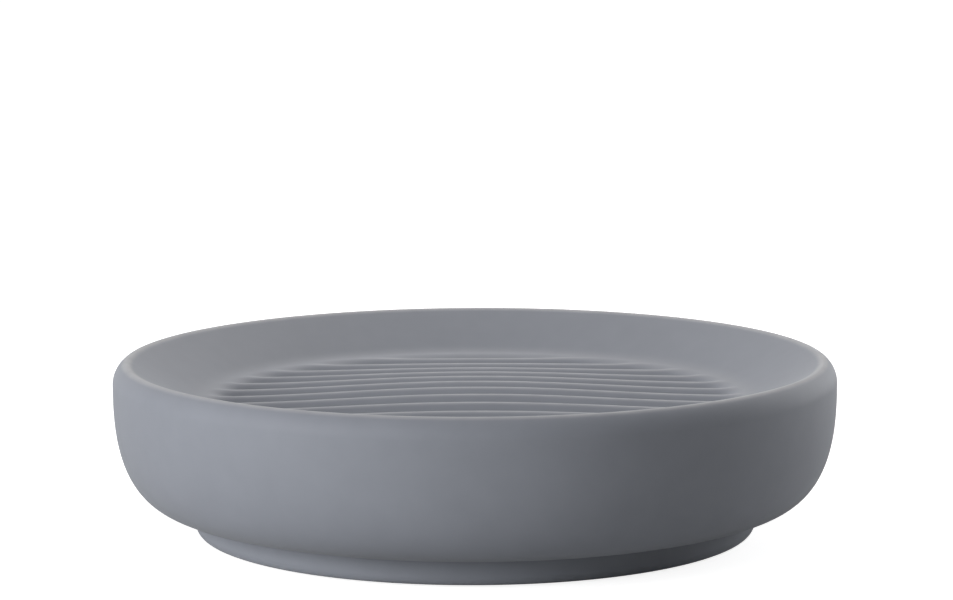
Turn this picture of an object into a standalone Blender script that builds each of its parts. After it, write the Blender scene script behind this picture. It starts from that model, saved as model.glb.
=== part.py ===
"""A round soap dish with a ribbed, domed floor, standing on four small non-slip pads.

The dish is one stoneware casting with a soft-touch coat: a bulging wall, a rounded rim, a shallow
bowl whose floor is crossed by parallel ribs, and a narrower foot with a shallow recess under it. Each pad
is a separate disc that is stuck into its own seat under the foot.

Lengths are in metres, +Z is up, and the origin lies on the dish's axis in the plane that the pads rest on.
The ribs run along X.
"""
import math

import bmesh
import bpy

# Outline of the casting, from the rim's crest down to the foot
dish_radius = 0.0600
dish_height = 0.0290
rim_rounding_width = 0.0029
rim_rounding_drop = 0.0045
belly_overhang = 0.0131
foot_corner_fillet = 0.0009
foot_height = 0.0046
foot_draft = 0.0002
foot_edge_width = 0.0008
foot_edge_height = 0.0012

# Bowl: its depth is from the rim's crest to the moat, and the floor rises by the crown to its middle
bowl_wall_run = 0.0126
bowl_depth = 0.0064
floor_crown = 0.0015

# Ribs: the grooves between them run out over a ring, and their crests lie just under the turned surface
rib_pitch = 0.0066
groove_depth = 0.0016
groove_run_out = 0.0036
rib_seating = 0.0001

# Recess under the foot
foot_ring_width = 0.0150
recess_depth = 0.0025
recess_lip_rounding = 0.0008
recess_corner_fillet = 0.0014

# Non-slip pads and their seats in the foot's ring
pad_radius = 0.0040
pad_thickness = 0.0010
pad_edge_rounding = 0.00025
pad_inset = 0.0086
seat_depth = 0.0009
seat_clearance = 0.0003

# Cutters: how far they run past a surface, and how far the rib cutter clears the bowl beyond the ribs
overrun = 0.0020
plug_margin = 0.0010
run_out_lift = 0.0005

# Points nearer than this are one point
merge_distance = 0.00001

# Sizes that follow from the ones above
pad_stand = pad_thickness + seat_clearance - seat_depth
rim_crest_radius = dish_radius - rim_rounding_width
widest_height = dish_height - rim_rounding_drop
foot_radius = dish_radius - belly_overhang
foot_top = pad_stand + foot_height
moat_radius = rim_crest_radius - bowl_wall_run
moat_height = dish_height - bowl_depth
recess_radius = foot_radius - foot_ring_width
recess_top = pad_stand + recess_depth
pad_circle_radius = foot_radius - pad_inset

# Shape numbers without a unit: a squareness of 2 is an ellipse, more is fuller, and less is tighter
ellipse_squareness = 2.0
crest_squareness = 1.6
belly_squareness = 2.57
rib_sharpness = 1.35
wall_foot_share = 0.25
wall_top_share = 0.12
pad_count = 4
first_pad_share = 0.125
plug_foot_share = 0.65
cutter_reach_share = 0.60
column_shares = (0.0, 0.20, 0.40, 0.58, 0.73, 0.84, 0.90, 0.935, 0.965, 1.0)

# Fineness of the mesh
turning_steps = 72
rim_steps = 6
bowl_wall_steps = 10
belly_steps = 11
foot_edge_steps = 4
fillet_steps = 3
rows_per_rib = 6
pad_sides = 28
pad_edge_steps = 2


def remove_all_objects():
    """Start from an empty scene."""
    for thing in list(bpy.data.objects):
        bpy.data.objects.remove(thing, do_unlink=True)


def new_collection(name):
    """A collection of that name under the scene's own."""
    collection = bpy.data.collections.new(name)
    bpy.context.scene.collection.children.link(collection)
    return collection


def new_material(name, colour, roughness):
    """A plain Principled material."""
    material = bpy.data.materials.new(name)
    material.use_nodes = True
    shader = material.node_tree.nodes["Principled BSDF"]
    shader.inputs["Base Color"].default_value = (*colour, 1.0)
    shader.inputs["Roughness"].default_value = roughness
    shader.inputs["Metallic"].default_value = 0.0
    material.diffuse_color = (*colour, 1.0)
    return material


def object_from_bmesh(name, build, collection):
    """Turn the bmesh into an object in the collection."""
    mesh = bpy.data.meshes.new(name)
    build.to_mesh(mesh)
    build.free()
    thing = bpy.data.objects.new(name, mesh)
    collection.objects.link(thing)
    return thing


def smoothstep(value):
    """An even ramp from 0 to 1 that starts and ends level."""
    value = min(max(value, 0.0), 1.0)
    return value * value * (3.0 - 2.0 * value)


def eased_ramp(share):
    """A straight ramp from 0 to 1 with a slow start and a short level end."""
    slope = 1.0 / (1.0 - (wall_foot_share + wall_top_share) / 2.0)
    if share < wall_foot_share:
        return slope * share**2 / wall_foot_share / 2.0
    if share > 1.0 - wall_top_share:
        return 1.0 - slope * (1.0 - share) ** 2 / wall_top_share / 2.0
    return slope * (share - wall_foot_share / 2.0)


def bowl_height(radius):
    """Height of the bowl without its grooves: a low crown, a moat round it, and the wall up to the rim."""
    if radius < moat_radius:
        rise = floor_crown * (1.0 + math.cos(math.pi * radius / moat_radius)) / 2.0
        return moat_height + rise
    return moat_height + bowl_depth * eased_ramp((radius - moat_radius) / bowl_wall_run)


def groove_at(across):
    """Depth below the ribs' crests at a place across them. The crest of a rib lies on the axis."""
    wave = (1.0 + math.cos(math.tau * across / rib_pitch)) / 2.0
    return groove_depth * (1.0 - wave**rib_sharpness)


def floor_height(along, across):
    """Height of the rib cutter's underside.

    Inside the ring where the grooves run out it is the ribbed floor. Beyond it lies clear above the bowl.
    """
    radius = math.hypot(along, across)
    fade = smoothstep((moat_radius + groove_run_out / 2.0 - radius) / groove_run_out)
    cut = (groove_at(across) + rib_seating) * fade
    return bowl_height(radius) - cut + run_out_lift * (1.0 - fade)


def quarter_round(
    start,
    end,
    steps,
    near_start=ellipse_squareness,
    near_end=ellipse_squareness,
    leaves_level=True,
):
    """Points from start to end along a quarter of an ellipse or of a fuller curve, without the start.

    The two squarenesses hold near the start and near the end. The curve leaves the start level and reaches
    the end upright, or the other way round.
    """
    points = []
    for step in range(1, steps + 1):
        turn = math.pi / 2.0 * step / steps
        far = math.sin(turn) ** (2.0 / near_start)
        near = 1.0 - math.cos(turn) ** (2.0 / near_end)
        across, up = (far, near) if leaves_level else (near, far)
        points.append((start[0] + (end[0] - start[0]) * across, start[1] + (end[1] - start[1]) * up))
    return points


def bowl_profile():
    """Radius and height from the axis to the rim's crest.

    A flat plug stands where the ribs go, and the rib cutter takes it away.
    """
    plug_height = bowl_height(0.0) + plug_margin
    plug_foot_radius = moat_radius - groove_run_out * plug_foot_share
    points = [(0.0, plug_height), (moat_radius - groove_run_out, plug_height)]
    points.append((plug_foot_radius, bowl_height(plug_foot_radius)))
    for step in range(bowl_wall_steps):
        radius = moat_radius + bowl_wall_run * step / bowl_wall_steps
        points.append((radius, bowl_height(radius)))
    points.append((rim_crest_radius, dish_height))
    return points


def outer_profile(crest):
    """Radius and height from the rim's crest over the belly and down the foot."""
    points = quarter_round(crest, (dish_radius, widest_height), rim_steps, crest_squareness)
    belly_end = (foot_radius + foot_corner_fillet, foot_top)
    fullness = (belly_squareness, belly_squareness)
    points += quarter_round(points[-1], belly_end, belly_steps, *fullness, leaves_level=False)
    fillet_end = (foot_radius, foot_top - foot_corner_fillet)
    points += quarter_round(points[-1], fillet_end, fillet_steps)
    points.append((foot_radius - foot_draft, pad_stand + foot_edge_height))
    edge_end = (foot_radius - foot_draft - foot_edge_width, pad_stand)
    points += quarter_round(points[-1], edge_end, foot_edge_steps, leaves_level=False)
    return points


def underside_profile():
    """Radius and height from the foot's ring up into the recess and to the axis."""
    points = [(recess_radius + recess_lip_rounding, pad_stand)]
    lip_end = (recess_radius, pad_stand + recess_lip_rounding)
    points += quarter_round(points[-1], lip_end, fillet_steps)
    corner_end = (recess_radius - recess_corner_fillet, recess_top)
    points += quarter_round(points[-1], corner_end, fillet_steps, leaves_level=False)
    points.append((0.0, recess_top))
    return points


def turned_casting(collection):
    """The casting without its ribs and seats: a profile turned about Z."""
    profile = bowl_profile()
    profile += outer_profile(profile[-1])
    profile += underside_profile()
    build = bmesh.new()
    points = [build.verts.new((radius, 0.0, height)) for radius, height in profile]
    for upper, lower in zip(points, points[1:]):
        build.edges.new((upper, lower))
    body = object_from_bmesh("dish_body", build, collection)
    screw = body.modifiers.new("Turn the profile", "SCREW")
    screw.axis = "Z"
    screw.angle = math.tau
    screw.steps = turning_steps
    screw.render_steps = turning_steps
    screw.use_merge_vertices = True
    screw.merge_threshold = merge_distance
    screw.use_smooth_shade = True
    return body


def rib_cutter(collection):
    """A block whose underside is the ribbed floor. Its rows of faces lie along the ribs."""
    reach = moat_radius + groove_run_out * cutter_reach_share
    row_step = rib_pitch / rows_per_rib
    half_rows = int(reach / row_step)
    half_columns = len(column_shares) - 1
    build = bmesh.new()
    bmesh.ops.create_grid(build, x_segments=2 * half_columns, y_segments=2 * half_rows, size=1.0)
    for vert in build.verts:
        column = round(vert.co.x * half_columns)
        across = round(vert.co.y * half_rows) * row_step
        half_chord = math.sqrt(max(reach**2 - across**2, (row_step / 2.0) ** 2))
        along = math.copysign(half_chord * column_shares[abs(column)], column)
        vert.co = (along, across, floor_height(along, across))
    border = [edge for edge in build.edges if edge.is_boundary]
    wall = bmesh.ops.extrude_edge_only(build, edges=border)["geom"]
    for vert in (item for item in wall if isinstance(item, bmesh.types.BMVert)):
        vert.co.z = dish_height + overrun
    lid = [item for item in wall if isinstance(item, bmesh.types.BMEdge) and item.is_boundary]
    bmesh.ops.holes_fill(build, edges=lid)
    bmesh.ops.recalc_face_normals(build, faces=build.faces)
    cutter = object_from_bmesh("rib_cutter", build, collection)
    cutter.data.shade_smooth()
    return cutter


def pad_places():
    """Number and centre of each pad, evenly spaced round the foot and turned away from the front."""
    for index in range(pad_count):
        turn = math.tau * (index / pad_count + first_pad_share)
        yield index + 1, pad_circle_radius * math.cos(turn), pad_circle_radius * math.sin(turn)


def disc(name, radius, low, high, collection):
    """A round disc between two heights."""
    build = bmesh.new()
    bmesh.ops.create_cone(
        build,
        cap_ends=True,
        segments=pad_sides,
        radius1=radius,
        radius2=radius,
        depth=high - low,
    )
    bmesh.ops.translate(build, verts=build.verts, vec=(0.0, 0.0, (low + high) / 2.0))
    return object_from_bmesh(name, build, collection)


def cut_away(body, cutter):
    """Take the cutter's shape out of the body, and keep the cutter as a wire guide."""
    cutter.display_type = "WIRE"
    cutter.hide_render = True
    boolean = body.modifiers.new(f"Cut {cutter.name}", "BOOLEAN")
    boolean.operation = "DIFFERENCE"
    boolean.solver = "EXACT"
    boolean.object = cutter


def make_body(parts, cutters):
    """The whole casting, ribbed and with a seat for each pad."""
    body = turned_casting(parts)
    cut_away(body, rib_cutter(cutters))
    seat_radius = pad_radius + seat_clearance
    for number, x, y in pad_places():
        seat = disc(f"seat_cutter_{number}", seat_radius, -overrun, pad_stand + seat_depth, cutters)
        seat.location = (x, y, 0.0)
        cut_away(body, seat)
    body.data.materials.append(new_material("soft_touch_stoneware", (0.215, 0.225, 0.250), 0.55))
    return body


def make_pads(parts):
    """The pads. Each stands a little proud of the foot, so that the stoneware never touches the shelf."""
    silicone = new_material("clear_grey_silicone", (0.420, 0.430, 0.440), 0.45)
    pads = []
    for number, x, y in pad_places():
        pad = disc(f"foot_pad_{number}", pad_radius, 0.0, pad_thickness, parts)
        pad.location = (x, y, 0.0)
        pad.data.materials.append(silicone)
        pad.data.shade_smooth()
        pad.data.set_sharp_from_angle(angle=math.radians(40.0))
        rounding = pad.modifiers.new("Round the edges", "BEVEL")
        rounding.width = pad_edge_rounding
        rounding.segments = pad_edge_steps
        rounding.limit_method = "ANGLE"
        rounding.angle_limit = math.radians(60.0)
        pads.append(pad)
    return pads


def main():
    """Build the dish and its pads."""
    remove_all_objects()
    parts = new_collection("soap_dish")
    cutters = new_collection("cutters")
    body = make_body(parts, cutters)
    pads = make_pads(parts)
    for pad in pads:
        pad.parent = body
    print(f"soap dish: 1 casting and {len(pads)} pads, each standing {pad_stand * 1000:.2f} mm proud")


main()
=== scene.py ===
# %% [markdown]
# # A round stoneware soap dish
#
# The real dish is one thick casting of stoneware: a bulging wall, a rounded rim with a narrow
# crest, a shallow bowl with parallel ribs across its floor, and a narrower foot. After firing it is
# sprayed with a matt coat that feels like velvet. Four small silicone pads are stuck under the
# foot, so that it doesn't scratch a shelf.
#
# The packed model gives the place and the size of every part. It is loaded first, and the finer
# pieces of this lesson are made around it. Everything is in metres, with Z up, and the ribs run
# along X.

# %% Load the packed model
import math

import bmesh
import bpy
from mathutils import Matrix, Vector


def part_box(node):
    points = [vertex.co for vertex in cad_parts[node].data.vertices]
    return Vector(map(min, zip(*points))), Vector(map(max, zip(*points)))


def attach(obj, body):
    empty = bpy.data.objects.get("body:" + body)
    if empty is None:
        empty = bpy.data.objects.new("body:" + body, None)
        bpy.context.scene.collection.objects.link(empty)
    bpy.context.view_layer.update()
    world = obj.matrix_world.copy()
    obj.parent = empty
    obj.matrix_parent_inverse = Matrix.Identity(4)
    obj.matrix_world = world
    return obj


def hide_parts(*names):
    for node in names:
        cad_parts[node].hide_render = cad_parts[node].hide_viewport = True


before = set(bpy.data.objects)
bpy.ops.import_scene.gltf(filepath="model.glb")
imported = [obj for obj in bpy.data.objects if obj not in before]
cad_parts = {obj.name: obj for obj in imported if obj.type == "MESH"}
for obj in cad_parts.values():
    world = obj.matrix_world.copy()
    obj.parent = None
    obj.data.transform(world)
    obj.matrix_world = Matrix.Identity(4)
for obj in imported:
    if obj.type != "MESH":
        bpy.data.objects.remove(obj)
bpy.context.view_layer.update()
mm = 0.001
for node in sorted(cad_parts):
    low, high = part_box(node)
    print(node, [round(side / mm, 2) for side in high - low], "mm")

# %% [markdown]
# ## The camera
#
# A near camera makes the front of a round rim bulge, and a far one flattens it, so the line of the
# rim tells how far away the camera has to stand. Here it stands 0.6 m away and looks down by 11.7
# degrees. The lens follows from the scale of the picture at the middle of the foot, in pixels for
# each metre. The last small turns bring that point to its row and its column, and level the dish.

# %% Camera
picture_width, picture_height = 953, 600
camera_distance = 600 * mm
camera_elevation = math.radians(11.68)
camera_roll = math.radians(-0.19)
pixels_per_metre = 5962
foot_row = 528.2
column_offset = 1.87

focal_pixels = pixels_per_metre * camera_distance
camera_data = bpy.data.cameras.new("studio camera")
camera_data.sensor_width = 36
camera_data.lens = camera_data.sensor_width * focal_pixels / picture_width
camera_data.clip_start, camera_data.clip_end = 0.05, 50
camera = bpy.data.objects.new("studio camera", camera_data)
bpy.context.scene.collection.objects.link(camera)
bpy.context.scene.camera = camera

camera_way = Vector((0, -math.cos(camera_elevation), math.sin(camera_elevation)))
pitch = math.atan((foot_row - picture_height / 2) / focal_pixels)
turn = math.atan(column_offset / focal_pixels)
camera.matrix_world = (
    Matrix.Translation(camera_distance * camera_way)
    @ Matrix.Rotation(math.pi / 2 - camera_elevation + pitch, 4, "X")
    @ Matrix.Rotation(-turn, 4, "Y")
    @ Matrix.Rotation(camera_roll, 4, "Z")
)
print("lens", round(camera_data.lens, 1), "mm, pitch", round(math.degrees(pitch), 2), "degrees")

# %% [markdown]
# ## Writing materials as sums
#
# A procedural material is a small calculation that runs at each point of a surface. Written as
# nodes and links it is hard to read, so this class wraps the output of a node. Arithmetic on it
# adds Math nodes, and its method `node` adds any other node: settings come first, then the values
# or links of its sockets.

# %% Shader arithmetic
class Wire:
    """The output of a node in a material."""

    def __init__(self, tree, socket=None):
        self.tree, self.socket = tree, socket

    def node(self, kind, settings=None, sockets=None, output=0):
        """Add a node and give back one of its outputs."""
        made = self.tree.nodes.new("ShaderNode" + kind)
        for name, value in (settings or {}).items():
            setattr(made, name, value)
        for name, value in (sockets or {}).items():
            if isinstance(value, Wire):
                self.tree.links.new(value.socket, made.inputs[name])
            else:
                made.inputs[name].default_value = value
        return Wire(self.tree, made.outputs[output] if made.outputs else None)

    def math(self, operation, *values):
        """Add a Math node for one operation on numbers or wires."""
        return self.node("Math", {"operation": operation}, dict(enumerate(values)))

    def __add__(self, other):
        return self.math("ADD", self, other)

    def __sub__(self, other):
        return self.math("SUBTRACT", self, other)

    def __rsub__(self, other):
        return self.math("SUBTRACT", other, self)

    def __mul__(self, other):
        return self.math("MULTIPLY", self, other)

    __radd__, __rmul__ = __add__, __mul__


methods = [name for name in vars(Wire) if not name.startswith("__")]
print("a wire can do:", methods, "and +, - and *")

# %% [markdown]
# Five helpers cover what the finishes below need: a new empty material, the kinds of ray that a
# Light Path node tells apart, cloudy noise of a given grain, a soft step from 0 to 1 between two
# values, and a mix of two colours. A noise texture's scale is the number of grains in a metre. The
# Mix node has sockets for numbers, vectors and colours under the same names, so the ones for
# colours are reached by their order.

# %% Material helpers
colour_inputs, colour_output = slice(6, 8), 2


def new_finish(name):
    """An empty material, its wire for adding nodes, and its output node."""
    material = bpy.data.materials.new(name)
    material.use_nodes = True
    material.node_tree.nodes.clear()
    output = material.node_tree.nodes.new("ShaderNodeOutputMaterial")
    return material, Wire(material.node_tree), output


def ray_kinds(wire):
    """One wire for each kind of ray: 1 where a ray of that kind asks for the colour."""
    ray = wire.node("LightPath")
    return {socket.name: Wire(wire.tree, socket) for socket in ray.socket.node.outputs}


def clouds(wire, place, grain, detail=2.0, roughness=0.5):
    """Noise between 0 and 1 whose blotches are about one grain wide."""
    sockets = {"Vector": place, "Scale": 1 / grain, "Detail": detail, "Roughness": roughness}
    return wire.node("TexNoise", None, sockets)


def soft_step(wire, value, start, end):
    """0 below the start and 1 above the end, with a smooth ramp between."""
    sockets = {"Value": value, "From Min": start, "From Max": end}
    return wire.node("MapRange", {"interpolation_type": "SMOOTHSTEP"}, sockets)


def tint(wire, colour, other, share, blend="MIX"):
    """Mix or multiply two colours. The share of the second may change over the surface."""
    settings = {"data_type": "RGBA", "blend_type": blend}
    made = wire.node("Mix", settings, {"Factor": share}, output=colour_output)
    for socket, value in zip(made.socket.node.inputs[colour_inputs], (colour, other)):
        if isinstance(value, Wire):
            wire.tree.links.new(value.socket, socket)
        else:
            socket.default_value = (*value, 1)
    return made


print("helpers:", [helper.__name__ for helper in (new_finish, ray_kinds, clouds, soft_step, tint)])

# %% [markdown]
# ## From a bmesh to a piece
#
# Each shape here is made as a bmesh, Blender's mesh for editing, and becomes the mesh of a new
# object when it is done. The object stays at the origin, unturned, and its place is in its mesh, so
# a pattern that reads Object coordinates never slides or turns.

# %% Piece helper
def new_piece(name, build):
    """Turn a finished bmesh into an object in the scene."""
    mesh = bpy.data.meshes.new(name)
    build.to_mesh(mesh)
    build.free()
    piece = bpy.data.objects.new(name, mesh)
    bpy.context.scene.collection.objects.link(piece)
    return piece


print("helper:", new_piece.__name__)

# %% [markdown]
# ## Floor and backdrop
#
# The dish stands on a plain pale floor under a plain pale sky. The camera sees both as white, by
# way of the Light Path node, while the light that bounces off the floor onto the dish stays that of
# a pale surface. Round the dish the floor is part glow and part matt paint, so that the dish still
# casts its shadow there. Farther away the glow grows to full white, for the camera and in
# reflections, and the floor's edge can't be seen. Close to the dish its coat mirrors only the
# paint, because it would shine above the foot otherwise.

# %% Floor
floor_reach = 3.0

build = bmesh.new()
bmesh.ops.create_circle(build, cap_ends=True, segments=64, radius=floor_reach)
floor = new_piece("floor", build)
print("floor", floor_reach, "m in radius")

# %% Paint and glow of the floor
floor_paint, floor_glow = 0.60, 0.86
shadow_reach, backdrop_reach = 0.15, 0.6
white = (1, 1, 1, 1)

floor_finish, wire, output = new_finish("pale floor")
kinds = ray_kinds(wire)
mirrored = wire.math("MAXIMUM", kinds["Is Glossy Ray"], kinds["Is Transmission Ray"])
place = wire.node("TexCoord", output="Object")
distance = wire.node("VectorMath", {"operation": "LENGTH"}, {"Vector": place}, output="Value")
far = soft_step(wire, distance, shadow_reach, backdrop_reach)
strength = kinds["Is Camera Ray"] * (floor_glow + (1 - floor_glow) * far) + mirrored * far
glow = wire.node("Emission", None, {"Color": white, "Strength": strength})
paint = wire.node("BsdfDiffuse", None, {"Color": (floor_paint, floor_paint, floor_paint, 1)})
surface = wire.node("AddShader", None, {0: paint, 1: glow})
wire.tree.links.new(surface.socket, output.inputs["Surface"])
floor.data.materials.append(floor_finish)
print("full white from", backdrop_reach, "m on")

# %% World
world_light = 0.02

world = bpy.data.worlds.new("studio")
world.use_nodes = True
bpy.context.scene.world = world
world.node_tree.nodes.clear()
wire = Wire(world.node_tree)
kinds = ray_kinds(wire)
seen = wire.math("MAXIMUM", kinds["Is Camera Ray"], kinds["Is Glossy Ray"])
seen = wire.math("MAXIMUM", seen, kinds["Is Transmission Ray"])
strength = seen * (1 - world_light) + world_light
sky = wire.node("Background", None, {"Color": white, "Strength": strength})
output = world.node_tree.nodes.new("ShaderNodeOutputWorld")
wire.tree.links.new(sky.socket, output.inputs["Surface"])
print("world light", world_light)

# %% [markdown]
# ## Lights
#
# Studio light comes from large softboxes, whose size makes the shading roll softly round the wall.
# Each one here is a square area lamp that looks at the middle of the dish. It is placed by its
# azimuth, counted from the camera's side towards the right, and by its elevation. Then come its
# size, its power and its colour.
#
# Two lamps on the left light the wall and leave its right half dark. A slightly warmer one stands
# high behind the dish and lights the bowl, and a low one on the right catches the right end of the
# wall.

# %% Softboxes
softbox_distance = 1.1
dish_middle = Vector((0, 0, 15 * mm))
neutral, warm = (1.0, 1.0, 1.0), (1.0, 0.965, 0.935)
softboxes = {
    "left softbox": (-58, 14, 0.6, 11.0, neutral),
    "upper left softbox": (-46, 28, 0.9, 4.6, neutral),
    "back softbox": (168, 50, 0.9, 7.2, warm),
    "low back softbox": (121, 10, 1.1, 12.8, neutral),
}


def add_softbox(name, azimuth, elevation, size, watts, colour):
    """A square lamp that looks at the dish."""
    lamp = bpy.data.lights.new(name, "AREA")
    lamp.size, lamp.energy, lamp.color = size, watts, colour
    softbox = bpy.data.objects.new(name, lamp)
    bpy.context.scene.collection.objects.link(softbox)
    turned, raised = math.radians(azimuth), math.radians(elevation)
    level = math.cos(raised)
    way = Vector((math.sin(turned) * level, -math.cos(turned) * level, math.sin(raised)))
    softbox.location = dish_middle + way * softbox_distance
    softbox.rotation_mode = "QUATERNION"
    softbox.rotation_quaternion = way.to_track_quat("Z", "Y")
    print(name, watts, "W")


for name, settings in softboxes.items():
    add_softbox(name, *settings)

# %% [markdown]
# ## The outline of the casting
#
# A round casting is turned: its outline is drawn once, from the bowl over the rim and down to the
# foot, and is spun about the axis, as a potter's template would do it. The rim and the belly aren't
# quarter circles. Each curve has a squareness for its start and one for its end, and an ellipse has
# 2 at both. The belly has more, which keeps it full before it draws in to the foot. The rim has
# less at its crest, which bends it most sharply there and gives it a thin line of light.
#
# The bowl's wall is a straight slope that starts slowly out of the moat, the lowest ring of the
# floor, and ends almost sharply at the crest. The two shares say how much of the wall each bend
# takes.

# %% Sizes of the casting
dish_radius = 60.0 * mm
dish_height = 29.0 * mm
rim_crest_radius = 57.8 * mm
widest_height = 25.5 * mm
ellipse, rim_squareness, belly_squareness = (2.0, 2.0), (1.45, 2.0), (2.57, 2.57)

pad_stand = 0.4 * mm
foot_radius = 46.9 * mm
foot_top = 5.0 * mm
foot_corner_fillet = 0.9 * mm
foot_draft = 0.2 * mm
foot_edge_width, foot_edge_height = 1.3 * mm, 1.8 * mm

recess_radius = 31.9 * mm
recess_top = 2.9 * mm
recess_lip_rounding, recess_corner_fillet = 0.8 * mm, 1.4 * mm

moat_radius = 44.5 * mm
moat_height = 22.6 * mm
floor_crown = 1.5 * mm
wall_foot_share, wall_top_share = 0.25, 0.06
print("dish", 2 * dish_radius / mm, "mm across and", dish_height / mm, "mm high")

# %% Curves of the outline
def quarter_round(start, end, steps, squareness=ellipse, leaves_level=True):
    """Points along a quarter of a rounded curve, without its start.

    It leaves its start level and arrives upright, or the other way round.
    """
    points = []
    for step in range(1, steps + 1):
        angle = math.pi / 2 * step / steps
        far = math.sin(angle) ** (2 / squareness[0])
        near = 1 - math.cos(angle) ** (2 / squareness[1])
        out, up = (far, near) if leaves_level else (near, far)
        points.append((start[0] + (end[0] - start[0]) * out, start[1] + (end[1] - start[1]) * up))
    return points


def eased_ramp(share):
    """A straight ramp from 0 to 1 with a slow start and a very short level end."""
    slope = 1 / (1 - wall_foot_share / 2 - wall_top_share / 2)
    if share < wall_foot_share:
        return slope * share**2 / (2 * wall_foot_share)
    if share > 1 - wall_top_share:
        return 1 - slope * (1 - share) ** 2 / (2 * wall_top_share)
    return slope * (share - wall_foot_share / 2)


def bowl_height(radius):
    """Height of the bowl without its grooves: a low crown, a moat and the wall up to the rim."""
    if radius < moat_radius:
        return moat_height + floor_crown * (1 + math.cos(math.pi * radius / moat_radius)) / 2
    share = (radius - moat_radius) / (rim_crest_radius - moat_radius)
    return moat_height + (dish_height - moat_height) * eased_ramp(share)


print("the bowl is", round((dish_height - bowl_height(0)) / mm, 2), "mm deep in its middle")

# %% [markdown]
# The outline starts a little outside the ribbed floor, which is made in another way and sewn in
# later. It stops at the flat ring that the pads are stuck to, because that ring has round seats in
# it. Inside the ring lies the recess. The flat ceiling of the recess has one more ring of points
# close to its corner, which keeps the shading of the rounded corner off the flat.

# %% Outline from the bowl to the foot
sewing_radius = 46.7 * mm
bowl_wall_steps, rim_steps, belly_steps, small_steps = 22, 22, 40, 8

outline = []
for step in range(bowl_wall_steps):
    radius = sewing_radius + (rim_crest_radius - sewing_radius) * step / bowl_wall_steps
    outline.append((radius, bowl_height(radius)))
outline.append((rim_crest_radius, dish_height))
widest_place = (dish_radius, widest_height)
outline += quarter_round(outline[-1], widest_place, rim_steps, rim_squareness)
belly_end = (foot_radius + foot_corner_fillet, foot_top)
outline += quarter_round(widest_place, belly_end, belly_steps, belly_squareness, leaves_level=False)
outline += quarter_round(belly_end, (foot_radius, foot_top - foot_corner_fillet), small_steps)
outline.append((foot_radius - foot_draft, pad_stand + foot_edge_height))
foot_edge_end = (foot_radius - foot_draft - foot_edge_width, pad_stand)
outline += quarter_round(outline[-1], foot_edge_end, small_steps, leaves_level=False)
print(len(outline), "points from the bowl to the foot")

# %% Outline of the recess under the foot
flat_ring_distance = 0.4 * mm

recess_outline = [(recess_radius + recess_lip_rounding, pad_stand)]
lip_end = (recess_radius, pad_stand + recess_lip_rounding)
recess_outline += quarter_round(recess_outline[-1], lip_end, small_steps)
corner_end = (recess_radius - recess_corner_fillet, recess_top)
recess_outline += quarter_round(lip_end, corner_end, small_steps, leaves_level=False)
for radius in (corner_end[0] - flat_ring_distance, corner_end[0] / 2, 0):
    recess_outline.append((radius, recess_top))
print(len(recess_outline), "points in the recess")

# %% [markdown]
# ## Spinning the outlines
#
# `bmesh.ops.spin` turns a row of edges about the axis. A fine full turn takes it a long time, so it
# makes a quarter turn here, and two mirrors complete the round, the first along X and the second
# along Y. A mirror welds the halves where they meet. The points on the axis are merged afterwards,
# which closes the pole.

# %% Turn the wall and the recess
turning_steps = 288
weld = 0.001 * mm

casting = bmesh.new()
for points in (outline, recess_outline):
    verts = [casting.verts.new((radius, 0, height)) for radius, height in points]
    for pair in zip(verts, verts[1:]):
        casting.edges.new(pair)
bmesh.ops.spin(
    casting,
    geom=casting.verts[:] + casting.edges[:],
    cent=(0, 0, 0),
    axis=(0, 0, 1),
    angle=math.tau / 4,
    steps=turning_steps // 4,
)
for axis in ("X", "Y"):
    everything = casting.verts[:] + casting.edges[:] + casting.faces[:]
    bmesh.ops.mirror(casting, geom=everything, merge_dist=weld, axis=axis)
bmesh.ops.remove_doubles(casting, verts=casting.verts, dist=weld)
print("turned:", len(casting.verts), "points,", len(casting.faces), "faces")

# %% [markdown]
# ## The ribbed floor
#
# The ribs cross the floor in straight lines while its edge is round. A turned mesh would have to be
# very fine to follow them, so the floor starts as a square grid. Each of its rows is squeezed to
# the width that the circle has there, which keeps every row straight and along the ribs. Then each
# point drops to the height of the floor: the crown, less the groove, and the groove runs out softly
# before the circle.

# %% Height of the ribbed floor
rib_pitch = 6.6 * mm
rib_sharpness = 1.35
crest_cut, groove_depth = 0.1 * mm, 1.6 * mm
groove_run_out, groove_end_radius = 5.2 * mm, 45.2 * mm


def ribbed_height(along, across):
    """Height of the floor at a place along and across the ribs."""
    radius = math.hypot(along, across)
    wave = (1 + math.cos(math.tau * across / rib_pitch)) / 2
    cut = groove_depth * (1 - wave**rib_sharpness) + crest_cut
    share = min(max((groove_end_radius - radius) / groove_run_out, 0), 1)
    return bowl_height(radius) - cut * share * share * (3 - 2 * share)


for across in (0, rib_pitch / 2):
    print("height at", across / mm, "mm across:", round(ribbed_height(0, across) / mm, 2), "mm")

# %% Grid for the ribbed floor
floor_edge_radius = 46.35 * mm
rows_per_rib = 14
half_columns = 40

row_step = rib_pitch / rows_per_rib
half_rows = int(floor_edge_radius / row_step)
columns, rows = 2 * half_columns, 2 * half_rows
grid = bmesh.ops.create_grid(casting, x_segments=columns, y_segments=rows, size=1.0)
for vert in grid["verts"]:
    across = round(vert.co.y * half_rows) * row_step
    half_chord = math.sqrt(floor_edge_radius**2 - across**2)
    along = half_chord * math.sin(math.pi / 2 * vert.co.x)
    vert.co = (along, across, ribbed_height(along, across))
print("ribbed floor:", len(grid["verts"]), "points in", rows, "rows")

# %% [markdown]
# ## Sewing the floor in
#
# The grid's edge and the turned wall's inner edge have different numbers of points. `triangle_fill`
# closes the narrow band between two such loops, and leaves what lies inside the inner one alone.

# %% Sew the floor to the wall
seam_slack = 0.5 * mm


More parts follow.
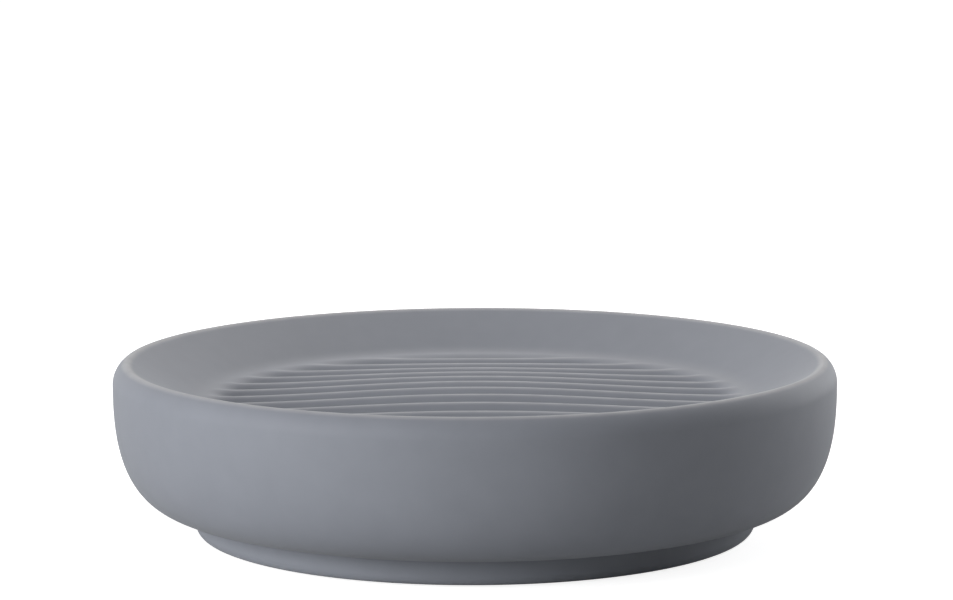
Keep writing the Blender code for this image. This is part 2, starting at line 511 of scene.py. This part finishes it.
def open_edges(build, radii, heights):
    """The edges with a free side whose middles lie between two radii and two heights."""
    found = []
    for edge in build.edges:
        middle = (edge.verts[0].co + edge.verts[1].co) / 2
        inside = radii[0] < middle.xy.length < radii[1] and heights[0] < middle.z < heights[1]
        if inside and len(edge.link_faces) < 2:
            found.append(edge)
    return found


seam_radii = (floor_edge_radius - seam_slack, sewing_radius + seam_slack)
seam = open_edges(casting, seam_radii, (moat_height - seam_slack, dish_height))
bmesh.ops.triangle_fill(casting, use_beauty=True, edges=seam, normal=(0, 0, 1))
print("sewn:", len(seam), "edges,", sum(edge.is_boundary for edge in casting.edges), "still open")

# %% [markdown]
# ## The pad seats
#
# Each seat is a shallow round pocket whose lip is rounded in two steps. It starts as a circle in
# the plane of the ring. The same fill closes the ring round all four circles, and each circle is
# then extruded up into its pocket, one step of the seat's profile at a time. A step says how far
# outside the seat's wall it lies, and how high.

# %% Places of the pads
pad_radius = 4.0 * mm
pad_nodes = sorted(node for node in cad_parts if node.startswith("foot_pad"))
pad_middles = {}
for node in pad_nodes:
    low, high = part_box(node)
    pad_middles[node] = (low + high) / 2
    print(node, [round(value / mm, 2) for value in pad_middles[node]])

# %% Ring with the rims of the seats
seat_clearance = 0.3 * mm
seat_lip = 0.15 * mm
seat_sides = 56
seat_radius = pad_radius + seat_clearance

seat_rims = []
for middle in pad_middles.values():
    place = Matrix.Translation((middle.x, middle.y, pad_stand))
    circle = bmesh.ops.create_circle(
        casting, segments=seat_sides, radius=seat_radius + seat_lip, matrix=place
    )
    around = (edge for vert in circle["verts"] for edge in vert.link_edges)
    seat_rims.append(list(dict.fromkeys(around)))
ring_heights = (pad_stand - weld, pad_stand + weld)
ring = open_edges(casting, (recess_radius, foot_radius), ring_heights)
bmesh.ops.triangle_fill(casting, use_beauty=True, edges=ring, normal=(0, 0, -1))
print("ring:", len(ring), "edges, of which", len(seat_rims) * seat_sides, "are round the seats")

# %% Pockets of the seats
seat_depth = 0.9 * mm
lip_bend = 0.3 * seat_lip
seat_steps = [(lip_bend, lip_bend), (0.0, seat_lip)]
seat_steps += [(0.0, seat_depth - seat_lip), (-seat_lip, seat_depth)]

for edges, middle in zip(seat_rims, pad_middles.values()):
    for outside, height in seat_steps:
        grown = bmesh.ops.extrude_edge_only(casting, edges=edges)["geom"]
        edges = [item for item in grown if isinstance(item, bmesh.types.BMEdge)]
        edges = [edge for edge in edges if edge.is_boundary]
        for vert in {vert for edge in edges for vert in edge.verts}:
            reach = (vert.co.xy - middle.xy).normalized() * (seat_radius + outside)
            vert.co = (middle.x + reach.x, middle.y + reach.y, pad_stand + height)
    bmesh.ops.holes_fill(casting, edges=edges)
print("open edges left:", sum(edge.is_boundary for edge in casting.edges))

# %% [markdown]
# ## The finished casting
#
# The casting is closed now, so its normals can be turned outwards. It is shaded smooth, apart from
# edges that bend by more than the sharp angle, and it takes the place of the plain solid.

# %% Finish the casting
sharp_angle = math.radians(50)

bmesh.ops.recalc_face_normals(casting, faces=casting.faces)
for face in casting.faces:
    face.smooth = True
millilitres = casting.calc_volume(signed=True) / mm**3 / 1000
print("volume", round(millilitres, 2), "ml,", len(casting.faces), "faces")
dish = new_piece("stoneware_dish", casting)
dish.data.set_sharp_from_angle(angle=sharp_angle)
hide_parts("dish_body")
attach(dish, "root")

# %% [markdown]
# ## The soft-touch coat
#
# The coat is a matt bluish grey. From near it isn't one flat colour: it has wide faint clouds where
# the spray was thicker, a fine grain like eggshell, and it is rubbed smoother on the crests of the
# ribs and along the rim, where soap and hands touch it. These crests are also painted paler, which
# is partly that wear and partly a painted highlight along them. All of that is worked out from the
# place of each point on the dish, so the pattern stays put from any side.

# %% Clouds and grain of the coat
stoneware, wire, output = new_finish("soft-touch stoneware")
place = wire.node("TexCoord", output="Object")
wide_clouds = clouds(wire, place, grain=22 * mm)
small_clouds = clouds(wire, place, grain=4 * mm)
eggshell = clouds(wire, place, grain=0.55 * mm, detail=3.0, roughness=0.6)
print("noise nodes in the coat:", len([node for node in wire.tree.nodes if "NOISE" in node.type]))

# %% [markdown]
# The paler tops of the ribs are wear and a painted highlight together. They follow the wave that
# shapes the ribs: only its top is painted. They fade out where the grooves do, and they are kept to
# the height of the floor, because the same stripes would show on the underside otherwise. The paler
# rim, also wear and a painted highlight, takes the last half millimetre of the height. The small
# clouds make both of them patchy.

# %% Wear and painted highlight of the coat
crest_wave_top = (0.86, 1.0)
ribs_low_height = (20.0 * mm, 21.5 * mm)
ribs_end_radius = (40 * mm, 45 * mm)
rim_top_height = (28.45 * mm, 29.0 * mm)
crest_share = 0.55
least_share, patchy_share = 0.6, 0.9

parts = wire.node("SeparateXYZ", None, {"Vector": place})
along, across, height = (Wire(wire.tree, socket) for socket in parts.socket.node.outputs)
radius = wire.math("SQRT", along * along + across * across)
wave = 0.5 + 0.5 * wire.math("COSINE", across * (math.tau / rib_pitch))
high_enough = soft_step(wire, height, *ribs_low_height)
on_the_floor = high_enough * (1 - soft_step(wire, radius, *ribs_end_radius))
# Paler rib crests: rubbed wear and a painted highlight on the crest tops.
crest_wear_highlight = soft_step(wire, wave, *crest_wave_top) * on_the_floor
# Paler rim top: rubbed wear and a painted highlight along the crest.
rim_wear_highlight = soft_step(wire, height, *rim_top_height)
wear_and_highlight = (crest_wear_highlight * crest_share + rim_wear_highlight) * (least_share + patchy_share * small_clouds)
print("nodes in the coat so far:", len(wire.tree.nodes))

# %% [markdown]
# The clouds make the colour a little darker or paler. Such a coat hardly mirrors anything, so its
# specular level is low, and a little sheen stands for its velvety skin.

# %% Stoneware finish
coat_colour = (0.213, 0.226, 0.256)
# The paler grey of the worn tops, which also paints a highlight on them.
wear_highlight_colour = (0.285, 0.292, 0.312)
darkest, wide_shade, small_shade = 0.90, 0.12, 0.08
coat_roughness, roughness_change = 0.54, 0.08

shade = darkest + wide_shade * wide_clouds + small_shade * small_clouds
shades = wire.node("CombineColor", None, {"Red": shade, "Green": shade, "Blue": shade})
# The paler grey goes where the mask of wear and painted highlight is high.
coat = tint(wire, tint(wire, coat_colour, wear_highlight_colour, wear_and_highlight), shades, 1.0, blend="MULTIPLY")
relief = (eggshell + small_clouds) * 0.5
bump = wire.node("Bump", None, {"Strength": 0.35, "Distance": 0.03 * mm, "Height": relief})
shader = wire.node(
    "BsdfPrincipled",
    None,
    {
        "Base Color": coat,
        "Roughness": coat_roughness + roughness_change * wide_clouds - roughness_change * wear_and_highlight,
        "Specular IOR Level": 0.12,
        "Sheen Weight": 0.10,
        "Sheen Roughness": 0.5,
        "Normal": bump,
    },
)
wire.tree.links.new(shader.socket, output.inputs["Surface"])
dish.data.materials.append(stoneware)
print("coat", coat_colour, "rubbed to", wear_highlight_colour)

# %% [markdown]
# ## The silicone pads
#
# A pad is stamped from a soft sheet, so its edge is slightly rounded and its sole is a little
# hollow, which helps it to grip. It starts as a low cone with equal ends, its rims are bevelled,
# and the sole is inset and pressed in. Its two ends are its only faces with more than four corners.
# The four pads are alike, so one loop makes them all.

# %% Pads
pad_thickness = 1.0 * mm
pad_edge = 0.25 * mm
sole_margin, sole_hollow = 0.8 * mm, 0.12 * mm


def pad_ends(build):
    """The two flat ends of a pad."""
    return [face for face in build.faces if len(face.verts) > 4]


pads = []
for number, (node, middle) in enumerate(pad_middles.items(), 1):
    build = bmesh.new()
    bmesh.ops.create_cone(
        build,
        cap_ends=True,
        segments=72,
        radius1=pad_radius,
        radius2=pad_radius,
        depth=pad_thickness,
        matrix=Matrix.Translation(middle),
    )
    rims = list(dict.fromkeys(edge for face in pad_ends(build) for edge in face.edges))
    bmesh.ops.bevel(
        build, geom=rims, offset=pad_edge, segments=5, affect="EDGES", profile=0.5, material=-1
    )
    sole = min(pad_ends(build), key=lambda face: face.calc_center_median().z)
    bmesh.ops.inset_region(build, faces=[sole], thickness=sole_margin)
    bmesh.ops.inset_region(build, faces=[sole], thickness=sole_margin / 2, depth=-sole_hollow)
    for face in build.faces:
        face.smooth = True
    pad = new_piece(f"silicone_pad_{number}", build)
    pad.data.set_sharp_from_angle(angle=sharp_angle)
    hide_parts(node)
    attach(pad, "root")
    pads.append(pad)
print(len(pads), "pads of", len(pads[0].data.polygons), "faces")

# %% [markdown]
# ## The silicone
#
# Silicone is a greyish, slightly cloudy rubber with a satin skin that lets a little light in. Some
# dust sticks to it, so its colour and its shine are broken up by fine noise.

# %% Silicone finish
deep_colour, cloudy_colour = (0.40, 0.41, 0.42), (0.46, 0.47, 0.48)
dust_colour = (0.55, 0.54, 0.52)
dusty_noise = (0.52, 0.68)
dust_cover = 0.35
skin_roughness, dust_roughness = 0.40, 0.25

silicone, wire, output = new_finish("clear grey silicone")
place = wire.node("TexCoord", output="Object")
dust = soft_step(wire, clouds(wire, place, grain=0.3 * mm, detail=3.0), *dusty_noise)
skin = tint(wire, deep_colour, cloudy_colour, clouds(wire, place, grain=3 * mm))
skin = tint(wire, skin, dust_colour, dust * dust_cover)
bump = wire.node("Bump", None, {"Strength": 0.3, "Distance": 0.02 * mm, "Height": dust})
shader = wire.node(
    "BsdfPrincipled",
    None,
    {
        "Base Color": skin,
        "Roughness": skin_roughness + dust_roughness * dust,
        "Subsurface Weight": 0.15,
        "Subsurface Scale": 0.5 * mm,
        "Normal": bump,
    },
)
wire.tree.links.new(shader.socket, output.inputs["Surface"])
for pad in pads:
    pad.data.materials.append(silicone)
print("silicone on", silicone.users, "pads")

# %% [markdown] ## Colour management The Standard view transform shows colours
# as they are written.

# %% Finish
bpy.context.scene.view_settings.view_transform = "Standard"
bpy.context.view_layer.update()
